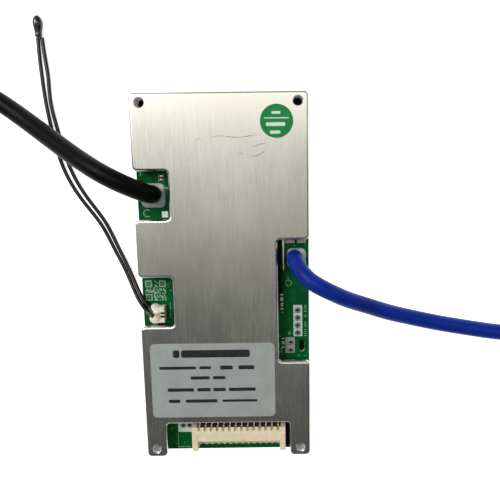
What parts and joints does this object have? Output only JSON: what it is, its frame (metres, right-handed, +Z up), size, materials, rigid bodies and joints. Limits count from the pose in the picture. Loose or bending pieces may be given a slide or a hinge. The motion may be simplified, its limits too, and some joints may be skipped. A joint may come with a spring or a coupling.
{
  "type": "battery management board",
  "caption": "Flat battery management board: green circuit board under a notched aluminium plate, with a side-entry cell socket, two heavy silicone leads and a wired temperature sensor.",
  "frame": {"origin": "middle of the board on the surface that its four feet stand on", "axes": "+Z up through the aluminium plate, +Y along the board from the cell socket to the end with the round label, +X across it towards the blue lead"},
  "size_m": [0.27, 0.1627, 0.0186],
  "materials": {
    "plate": "brushed lengthwise, satin",
    "spacer_metal": "turned, bright",
    "circuit_board": "green solder mask over glass fibre",
    "thermal_pad": "soft silicone sheet",
    "chip_body": "moulded epoxy",
    "tinned_copper": "tinned",
    "shunt_alloy": "rolled alloy strip",
    "resistor_body": "glazed black",
    "capacitor_body": "fired, matt",
    "socket_plastic": "moulded nylon, cream",
    "contact_metal": "tin-plated brass",
    "solder": "reflowed",
    "tinned_strands": "tinned copper strands",
    "black_silicone": "soft silicone, satin",
    "blue_silicone": "soft silicone, satin",
    "sensor_plastic": "moulded nylon",
    "glue": "set silicone glue, cream",
    "sensor_wire": "PVC insulation, black",
    "resin": "cast epoxy, black",
    "white_plastic": "moulded, white",
    "label_film": null,
    "sticker_film": null
  },
  "bodies": {
    "root": {"plate": "plate", "spacers": "spacer_metal", "board": "circuit_board", "thermal_pad": "thermal_pad", "transistor_bodies": "chip_body", "transistor_tabs": "tinned_copper", "transistor_leads": "tinned_copper", "bus_bars": "tinned_copper", "shunts": "shunt_alloy", "monitor_chip": "chip_body", "monitor_leads": "tinned_copper", "controller_chip": "chip_body", "controller_leads": "tinned_copper", "balance_resistors": "resistor_body", "balance_resistor_ends": "tinned_copper", "balance_switches": "chip_body", "balance_switch_leads": "tinned_copper", "capacitors": "capacitor_body", "capacitor_ends": "tinned_copper", "socket_housing": "socket_plastic", "socket_contacts": "contact_metal", "socket_solder": "solder", "lead_pads": "solder", "black_solder": "solder", "black_core": "tinned_strands", "black_lead": "black_silicone", "black_lead_end": "tinned_strands", "blue_solder": "solder", "blue_core": "tinned_strands", "blue_lead": "blue_silicone", "blue_lead_end": "tinned_strands", "sensor_socket": "sensor_plastic", "sensor_pins": "contact_metal", "sensor_glue": "glue", "sensor_wire_left": "sensor_wire", "sensor_wire_right": "sensor_wire", "sensor_bead": "resin", "header_pads": "solder", "marker_block": "white_plastic", "edge_resistors": "resistor_body", "edge_resistor_ends": "tinned_copper", "label": "label_film", "sticker": "sticker_film"}
  },
  "joints": []
}
